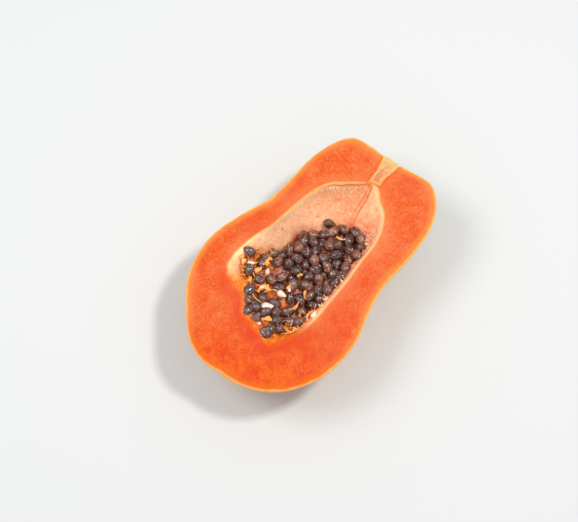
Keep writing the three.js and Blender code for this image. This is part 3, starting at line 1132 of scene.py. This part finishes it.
    def shapes(self, centres: Array, axes: Array, rng: np.random.Generator) -> tuple[Array, Array]:
        """Every seed's skin: an egg, blunt at one end and with a small tip at the other, with soft lumps.

        Along the long axis u from -1 to 1 the egg's breadth is the circle's times (1 - 0.14 u), and the
        tip adds a little length where u nears 1. The lumps are noise at two pitches, different for each.

        Args:
            centres: the seeds' middles, (n, 3).
            axes: their axes, (n, 3, 3).
            rng: the random numbers.

        Returns:
            (places, places along the seed's own axes), each (n, vertices, 3), the poles first and last.
        """
        ball = sphere_directions(self.rings, self.around).reshape(-1, 3)
        ball = np.concatenate([[[0, 0, -1.0]], ball, [[0, 0, 1.0]]])[:, [2, 0, 1]]
        taper = 1 - 0.14 * ball[:, :1]
        egg = ball * np.concatenate([1 + 0.08 * smoothstep(0.75, 1.0, ball[:, :1]), taper, taper], -1)
        sizes = np.array([self.half_length, self.half_breadth, self.half_breadth * 0.92])
        scale = sizes * rng.normal(1, [0.07, 0.06, 0.06], (len(centres), 3)).clip(0.82, 1.16)
        local = egg[None] * scale[:, None]
        salt = (np.arange(len(centres)) * 17.3)[:, None, None]
        lumps = 0.18 * lattice_noise(local + salt, 1.9, 21)
        lumps += 0.14 * lattice_noise((local + salt) * [0.4, 1.0, 1.0], 1.0, 22)
        local = local + unit(local) * lumps[..., None]
        return np.einsum("nvk,nkj->nvj", local, axes) + centres[:, None], local + salt

    def build(self, origin: Array, finish: Material) -> Piece:
        """Makes the joined seeds. Their crown mark is 1 on top and underneath, and 0 round the side."""
        rng = np.random.default_rng(20)
        centres = self.places(rng)
        axes = self.headings(centres, rng)
        copies, own = self.shapes(centres, axes, rng)
        grey = smoothstep(-6.0, -34.0, centres[:, 1] + 0.6 * centres[:, 0])
        grey = grey * rng.uniform(0.2, 0.9, len(centres))
        marks = {"tone": rng.uniform(0, 1, len(centres)), "greyness": grey}
        surface = Surface.of_copies(copies, self.rings, self.around, marks)
        surface.marks["seed_place"] = own.reshape(-1, 3) / 1000
        upward = np.einsum("nvj,nj->nv", unit(copies - centres[:, None]), axes[:, 2])
        surface.marks["crown"] = np.abs(upward).ravel()
        piece = make_piece("ripe_seeds", surface, origin, [finish])
        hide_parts("seed_heap")
        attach(piece, "root")
        log.info("%d seeds", len(centres))
        return piece

    def build_core(self, origin: Array, finish: Material) -> Piece:
        """Makes the core: the heap's plan drawn in, its top lowered, its base just over the wall."""
        turn = -2 * np.pi * np.arange(180) / 180
        shares = np.linspace(0.03, 0.97, 44)
        under = np.stack([self.core_ring(share, turn, False) for share in shares])
        over = np.stack([self.core_ring(share, turn, True) for share in shares[::-1]])
        rings = np.concatenate([under, over])
        surface = Surface.of_rings(rings, (under[0].mean(0), over[-1].mean(0)))
        surface.marks["tone"] = self.pulpy(surface.points)
        piece = make_piece("seed_core", surface, origin, [finish])
        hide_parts("seed_heap")
        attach(piece, "root")
        return piece

    @staticmethod
    def pulpy(places: Array) -> Array:
        """How much pulp lies between the seeds: more towards the blossom end and the left."""
        return smoothstep(0.0, -30.0, places[:, 1] + 0.6 * places[:, 0])

    def core_ring(self, share: float, turn: Array, upper: bool) -> Array:
        """A ring of the core at a share of the heap's plan, on its lumpy top or on its base."""
        plan = self.heap.outline.place(turn, share)
        angle, far = self.hollow.outline.angle_and_share(plan)
        plan = self.hollow.outline.place(angle, np.minimum(far, self.core_reach))
        base = self.hollow.wall(plan) + 0.4
        pulpy = self.pulpy(plan)
        top = self.heap.top(plan, self.hollow) - self.core_drop + self.pulp_rise * pulpy
        points = np.concatenate([plan, base[:, None]], -1)
        if upper:
            lumps = 0.9 * lattice_noise(points, 3.4, 31) + 0.5 * pulpy * lattice_noise(points, 1.5, 32)
            points[:, 2] = np.maximum(top + lumps, base + 0.3)
        return points


# ---- pulp, strands and the lining


class Bit(Enum):
    """Kinds of pulp bit: (length, thickness, tone), the first two in millimetres."""

    CRUMB = (2.8, 0.95, 0.15)
    SHRED = (6.0, 0.65, 0.3)
    FILM = (4.2, 1.2, 0.8)
    SHEET = (6.0, 1.35, 0.35)
    FLECK = (1.5, 0.45, 0.1)


@dataclass
class Pulp(Bed):
    """Bits of pulp and the strands that held the seeds, on and beside the heap."""

    strand_top: float = 0.2
    thread_reach: float = 0.92
    shreds: tuple[tuple[float, float, float, Bit], ...] = (
        (-35.0, -19.5, 60.0, Bit.CRUMB), (-31.0, -21.0, 100.0, Bit.FILM), (-23.5, -19.0, 60.0, Bit.SHEET),
        (-20.0, -11.0, 95.0, Bit.SHEET), (-13.0, -24.0, 40.0, Bit.FILM), (-11.0, -26.5, 30.0, Bit.SHEET),
        (-0.5, -6.0, 60.0, Bit.CRUMB), (10.0, -13.0, 120.0, Bit.SHRED), (8.5, -23.0, 80.0, Bit.SHRED),
        (10.0, -27.0, 80.0, Bit.SHRED), (4.5, 28.5, 20.0, Bit.SHRED), (19.5, -21.5, 85.0, Bit.SHRED),
        (20.5, -16.5, 60.0, Bit.SHRED), (1.5, -41.0, 35.0, Bit.SHEET), (-0.5, -47.0, 20.0, Bit.FILM),
        (20.0, -27.5, 70.0, Bit.SHRED), (15.5, -36.5, 15.0, Bit.SHRED), (-0.5, -16.5, 70.0, Bit.CRUMB),
        (-22.0, -27.5, 130.0, Bit.CRUMB), (19.0, 2.0, 90.0, Bit.FILM), (-28.0, -16.5, 30.0, Bit.SHRED),
        (-14.0, -42.0, 120.0, Bit.CRUMB), (-14.5, -29.0, 80.0, Bit.CRUMB), (-20.0, 37.0, 40.0, Bit.FLECK),
        (-23.0, 31.5, 80.0, Bit.FLECK), (-27.0, 10.5, 20.0, Bit.FLECK), (-16.5, 32.5, 10.0, Bit.FLECK),
    )
    threads: int = 110
    strands: tuple[tuple[Spot, ...], ...] = (
        ((-14.5, -25.5), (-18.0, -29.5), (-14.0, -34.0), (-7.5, -34.0)),
        ((-11.0, -28.0), (-7.5, -23.5), (-3.5, -22.5)),
        ((18.0, -14.0), (19.5, -17.5), (21.0, -19.0)),
        ((-31.0, -24.0), (-25.5, -22.0), (-20.0, -24.5)),
        ((5.0, -29.0), (8.5, -26.0), (9.5, -21.0), (8.0, -17.0)),
        ((-3.0, -47.0), (2.5, -51.0), (8.0, -48.5)),
        ((12.0, -42.0), (17.5, -38.0), (19.0, -33.0)),
    )

    def over(self, plan: Array, lift: float) -> Array:
        """Plan places raised to lie on the heap, or on the wall where there is no heap."""
        inside = self.heap.outline.share(plan) < 1.0
        ground = np.where(inside, self.heap.top(plan, self.hollow), self.hollow.wall(plan))
        return np.concatenate([plan, (ground + lift)[..., None]], -1)

    def shred(self, x: float, y: float, heading: float, size: tuple[float, float, float],
              salt: int) -> Surface:
        """One bit: a bent tube with a lumpy skin, thick in the middle and thin at its ends.

        Args:
            x: place of its middle across the fruit.
            y: place of its middle along the fruit.
            heading: its direction in degrees.
            size: length, thickness and tone.
            salt: which of many such bits, odd ones bent the other way.

        Returns:
            The closed skin.
        """
        length, thick, tone = size
        turn = math.radians(heading)
        t = np.linspace(-1, 1, 15)
        bend = 0.22 * length * (1 - t * t) * (1 if salt % 2 else -1)
        plan = np.stack([x + 0.5 * length * t * math.cos(turn) - bend * math.sin(turn),
                         y + 0.5 * length * t * math.sin(turn) + bend * math.cos(turn)], -1)
        path = self.over(plan, 0.35 * thick)
        path[:, 2] = path[:, 2].mean() + 0.5 * (path[:, 2] - path[:, 2].mean()) + 0.5 * (1 - t * t)
        widths = thick * (0.25 + 0.75 * np.sqrt(1 - t * t * 0.96)) * (1 + 0.25 * np.sin(3.1 * t + salt))
        rings, poles = sweep(path, widths, 14 if thick > 0.5 else 7)
        lumps = thick * (0.45 * lattice_noise(rings + salt * 7.7, 1.3, 41)
                         + 0.3 * lattice_noise(rings, 0.7, 42))
        rings = rings + unit(rings - path[:, None]) * lumps[..., None]
        rings[..., 2] = path[:, None, 2] + 0.7 * (rings[..., 2] - path[:, None, 2])
        rings[..., 2] = np.minimum(rings[..., 2], PROUD)
        return Surface.of_rings(rings, poles, {"tone": np.full(rings[..., 0].size + 2, tone)})

    def strand(self, stops: tuple[Spot, ...], salt: int) -> Surface:
        """One strand: a thin tube on a smooth curve through its stops, arched a little over the seeds."""
        plan = curve_through(np.array(stops), 26)
        t = np.linspace(0, 1, 26)
        path = self.over(plan, 0.9)
        path[:, 2] += 0.8 * np.sin(np.pi * t) + 0.25 * lattice_noise(path, 2.0, 50 + salt)
        path[:, 2] = np.minimum(path[:, 2], self.strand_top)
        widths = 0.38 * (0.55 + 0.45 * np.sin(np.pi * t)) * (1 + 0.2 * np.sin(9 * t + salt))
        rings, poles = sweep(path, widths, 10)
        return Surface.of_rings(rings, poles, {"tone": np.full(rings[..., 0].size + 2, 0.35)})

    def build(self, origin: Array, finish: Material) -> Piece:
        """Makes the joined bits and strands."""
        bits = [self.shred(x, y, heading, kind.value, n)
                for n, (x, y, heading, kind) in enumerate(self.shreds)]
        rng = np.random.default_rng(11)
        turn = np.radians(rng.uniform(110, 285, self.threads))
        plan = self.heap.outline.place(turn, rng.uniform(0.82, 1.1, self.threads))
        plan = plan[self.hollow.outline.share(plan) < self.thread_reach]
        bits += [self.shred(x, y, rng.uniform(0, 180), (rng.uniform(1.6, 4.5), rng.uniform(0.16, 0.4),
                                                        rng.uniform(0, 0.7)), n + 100)
                 for n, (x, y) in enumerate(plan)]
        strands = [self.strand(stops, n) for n, stops in enumerate(self.strands)]
        piece = make_piece("pulp_and_strands", Surface.joined(bits + strands), origin, [finish])
        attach(piece, "root")
        return piece


@dataclass
class UnripeSeeds(Bed):
    """Small white seeds that never ripened, shaped like drops."""

    drops: tuple[tuple[float, float, float, float], ...] = (
        (-3.5, -34.0, 40.0, 4.0), (-1.5, -22.5, 5.0, 3.1), (21.5, -20.5, 95.0, 2.6),
        (-17.0, -16.5, 110.0, 1.9),
        (-28.0, -19.0, 40.0, 2.4), (-13.5, -26.5, 40.0, 1.5), (-0.5, -45.5, 60.0, 1.4),
        (0.5, -17.5, 120.0, 1.4),
    )

    def drop(self, x: float, y: float, heading: float, half_length: float) -> Surface:
        """One seed: a ball whose breadth falls as it nears the tip, by (1 - 0.45 u) along its axis."""
        ball = sphere_directions(13, 18)[..., [2, 0, 1]]
        ends = np.array([[-1.0, 0, 0], [1.0, 0, 0]])
        plan = np.array([x, y])
        inside = self.heap.outline.share(plan) < 1.0
        ground = self.heap.top(plan, self.hollow) if inside else self.hollow.wall(plan)
        turn = math.radians(heading)
        ahead = np.array([math.cos(turn), math.sin(turn), 0.12])
        side = np.array([-math.sin(turn), math.cos(turn), 0.0])
        up = np.cross(ahead, side)
        middle = np.array([x, y, min(float(ground) + 1.6, 0.9 - half_length * 0.55)])

        def placed(part: Array) -> Array:
            """Points of the unit ball as points of this seed."""
            narrow = 0.62 * (1 - 0.45 * part[..., :1]) * half_length
            return (middle + part[..., :1] * half_length * ahead + part[..., 1:2] * narrow * side
                    + part[..., 2:] * narrow * 0.9 * up)

        rings = placed(ball)
        rings = rings + unit(rings - middle) * (0.06 * half_length * lattice_noise(rings, 1.1, 61))[..., None]
        tips = placed(ends)
        return Surface.of_rings(rings, (tips[0], tips[1]))

    def build(self, origin: Array, finish: Material) -> Piece:
        """Makes the joined unripe seeds."""
        piece = make_piece("unripe_seeds", Surface.joined([self.drop(*each) for each in self.drops]), origin,
                           [finish])
        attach(piece, "root")
        return piece


@dataclass
class LiningHairs(Bed):
    """Short hairs and seed stumps that stand on the hollow's wall."""

    scattered: int = 700
    fringe: int = 70
    tufts: tuple[Spot, ...] = (
        (17.5, 37.0), (20.0, -2.0), (20.5, 6.0), (20.0, 11.5), (21.5, -8.0), (22.0, -13.5), (18.0, 31.0),
    )
    border: int = 150
    tuft_size: int = 9

    def down(self, plan: Array) -> Array:
        """Direction down the wall at a plan place: straight down less its share along the normal."""
        normal = self.hollow.normal(plan)
        return unit(np.array([0.0, 0.0, -1.0]) + normal * normal[..., 2:])

    def spread(self, rng: np.random.Generator) -> tuple[Array, Array, Array, Array]:
        """Short stumps all over the bare wall: (plan places, directions, lengths, tones)."""
        turn = rng.uniform(-np.pi, np.pi, self.scattered)
        plan = self.hollow.outline.place(turn, rng.uniform(0.3, 0.975, self.scattered) ** 0.7)
        plan = plan[self.heap.outline.share(plan) > 0.98]
        lean = unit(self.hollow.normal(plan) + self.down(plan) * 0.8 + rng.normal(0, 0.3, (len(plan), 3)))
        return plan, lean, rng.uniform(0.3, 0.75, len(plan)), rng.uniform(0.0, 0.5, len(plan))

    def row(self, rng: np.random.Generator) -> tuple[Array, Array, Array, Array]:
        """The fringe: strokes side by side down the wall, under its edge to the left of the apex."""
        turn = np.radians(np.linspace(-40, -7, self.fringe) + rng.normal(0, 0.2, self.fringe))
        plan = self.hollow.outline.place(turn, rng.uniform(0.955, 0.985, self.fringe))
        lean = unit(self.down(plan) + self.hollow.normal(plan) * 0.25 + rng.normal(0, 0.06, (len(plan), 3)))
        return plan, lean, rng.uniform(1.4, 3.0, len(plan)), rng.uniform(0.6, 1.0, len(plan))

    def spikes(self, rng: np.random.Generator) -> tuple[Array, Array, Array, Array]:
        """Tufts beside the heap and a ragged row along its right side, leaning over the seeds."""
        turn = np.radians(rng.uniform(35, 128, self.border))
        turn = turn[lattice_noise(np.stack([turn * 20, turn * 0, turn * 0], -1), 1.0, 71) > -0.25]
        plan = self.heap.outline.place(turn, rng.uniform(0.99, 1.06, len(turn)))
        plan = np.concatenate([plan, np.repeat(np.array(self.tufts), self.tuft_size, axis=0)])
        plan = plan + rng.normal(0, 0.5, plan.shape)
        plan = plan[self.hollow.outline.share(plan) < 0.95]
        middle = np.array([*self.heap.outline.centre, 0.0])
        inward = unit(middle - np.concatenate([plan, plan[:, :1] * 0], -1))
        lean = unit(self.hollow.normal(plan) * 0.5 + inward * 0.6 + rng.normal(0, 0.45, (len(plan), 3)))
        return plan, lean, rng.uniform(1.3, 3.4, len(plan)), rng.uniform(0.5, 1.0, len(plan))

    def build(self, origin: Array, finish: Material) -> Piece:
        """Makes the joined hairs: each a cone of four rings that leans, as tall as its length."""
        rng = np.random.default_rng(5)
        groups = [self.spread(rng), self.row(rng), self.spikes(rng)]
        plan, lean, lengths, tones = (np.concatenate(parts) for parts in zip(*groups))
        root = np.concatenate([plan, self.hollow.wall(plan)[:, None]], -1)
        normal = self.hollow.normal(plan)
        side = unit(np.cross(normal, rng.normal(0, 1, normal.shape)))
        other = np.cross(normal, side)
        t = np.array([0.0, 0.35, 0.7, 0.92])
        thick = np.array([1.0, 0.75, 0.5, 0.25])
        angle = 2 * np.pi * np.arange(7) / 7
        base = 0.14 + 0.08 * lengths
        middle = root[:, None] + lean[:, None] * (t * lengths[:, None])[..., None] - normal[:, None] * 0.25
        circle = side[:, None] * np.cos(angle)[None, :, None] + other[:, None] * np.sin(angle)[None, :, None]
        rings = middle[:, :, None] + circle[:, None] * (base[:, None] * thick)[:, :, None, None]
        rings = rings.reshape(len(plan), -1, 3)
        tips = (root + lean * lengths[:, None])[:, None]
        feet = (root - normal * 0.3)[:, None]
        copies = np.concatenate([feet, rings, tips], 1)
        copies[..., 2] = np.minimum(copies[..., 2], PROUD)
        surface = Surface.of_copies(copies, 4, 7, {"tone": tones})
        piece = make_piece("lining_hairs", surface, origin, [finish])
        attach(piece, "root")
        return piece


# ---- the studio


@dataclass(frozen=True)
class Softbox:
    """A square light that faces the fruit: its place and side in metres, its power in watts and its tint."""

    name: str
    place: tuple[float, float, float]
    side: float
    power: float
    tint: tuple[float, float, float]

    def build(self) -> None:
        """Makes the light."""
        data = bpy.data.lights.new(self.name, "AREA")
        data.size = self.side
        data.energy = self.power
        data.color = self.tint
        made = linked(self.name, data)
        made.location = self.place
        made.rotation_euler = Vector(self.place).to_track_quat("Z", "Y").to_euler()


@dataclass
class Studio:
    """A pale floor, soft lights and the camera above the cut face. Its lengths are in metres."""

    azimuth: float = 38.0
    elevation: float = 75.0
    distance: float = 0.85
    width_at_aim: float = 0.3468
    sensor: float = 36.0
    aim_mm: Spot = (-9.96, -4.60)
    floor_reach: float = 6.0
    floor_shade: Colour = (0.54, 0.54, 0.53, 1.0)
    sky_shade: Colour = (0.95, 0.97, 1.0, 1.0)
    sky_strength: float = 0.78
    lights: tuple[Softbox, ...] = (
        Softbox("key", (0.26, 0.35, 1.05), 0.13, 7.6, (1.0, 0.99, 0.97)),
        Softbox("fill", (-0.5, -0.25, 0.95), 0.42, 5.6, (0.94, 0.97, 1.0)),
    )

    def camera(self, origin: Array) -> None:
        """Puts the camera on the line from the aim point, given in the fruit's frame, and aims it back."""
        turn, rise = math.radians(self.azimuth), math.radians(self.elevation)
        back = Vector((math.sin(turn) * math.cos(rise), -math.cos(turn) * math.cos(rise), math.sin(rise)))
        aim = Vector(((self.aim_mm[0] + origin[0]) / 1000, (self.aim_mm[1] + origin[1]) / 1000,
                      origin[2] / 1000))
        data = bpy.data.cameras.new("camera")
        data.sensor_width = self.sensor
        data.lens = self.sensor * self.distance / self.width_at_aim
        data.clip_start = 0.01
        made = linked("camera", data)
        made.location = aim + back * self.distance
        made.rotation_euler = back.to_track_quat("Z", "Y").to_euler()
        bpy.context.scene.camera = made

    def floor(self) -> None:
        """Makes the floor and its matt material."""
        mesh = bpy.data.meshes.new("floor")
        reach = self.floor_reach
        mesh.from_pydata([(-reach, -reach, 0), (reach, -reach, 0), (reach, reach, 0), (-reach, reach, 0)], [],
                         [(0, 1, 2, 3)])
        floor = linked("floor", mesh)
        material = bpy.data.materials.new("floor")
        material.use_nodes = True
        shader = material.node_tree.nodes["Principled BSDF"]
        shader.inputs["Base Color"].default_value = self.floor_shade
        shader.inputs["Roughness"].default_value = 0.7
        mesh.materials.append(material)

    def build(self, origin: Array) -> None:
        """Makes the floor, the sky, the lights and the camera."""
        self.floor()
        world = bpy.data.worlds.new("studio")
        bpy.context.scene.world = world
        world.use_nodes = True
        back = world.node_tree.nodes["Background"]
        back.inputs["Color"].default_value = self.sky_shade
        back.inputs["Strength"].default_value = self.sky_strength
        for light in self.lights:
            light.build()
        bpy.context.scene.view_settings.view_transform = "Standard"
        self.camera(origin)


def fruit_origin(fruit: Fruit) -> Array:
    """The row's place of the fruit frame's origin, in millimetres: the rim's box is centred on the
    solid's box, and the cut face is at the solid's top."""
    low, high = (np.array(corner) * 1000 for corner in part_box("papaya_half"))
    turn = np.linspace(0, 2 * np.pi, 1440, endpoint=False)
    rim = fruit.skin(np.stack([np.sin(turn), np.cos(turn), np.zeros_like(turn)], -1))[:, :2]
    middle = (rim.min(0) + rim.max(0)) / 2
    shift = (low[:2] + high[:2]) / 2 - middle
    return np.array([shift[0], shift[1], high[2]])


def main() -> None:
    """Builds every piece in order."""
    logging.basicConfig(level=logging.INFO, format="%(name)s: %(message)s")
    hollow, heap = Hollow(), Heap()
    fruit = Fruit(hollow, heap)
    origin = fruit_origin(fruit)
    log.info("fruit frame at %s mm", origin.round(2).tolist())
    Studio().build(origin)
    mottle = mottle_group()
    fruit.build(origin, FleshFinish(mottle).material(), SkinFinish(mottle).material())
    pile = SeedPile(hollow, heap)
    pile.build_core(origin, CoreFinish(mottle).material())
    pile.build(origin, SeedFinish(mottle).material())
    Pulp(hollow, heap).build(origin, PulpFinish(mottle).material())
    UnripeSeeds(hollow, heap).build(origin, UnripeSeedFinish(mottle).material())
    LiningHairs(hollow, heap).build(origin, HairFinish(mottle).material())


if __name__ == "__main__":
    main()
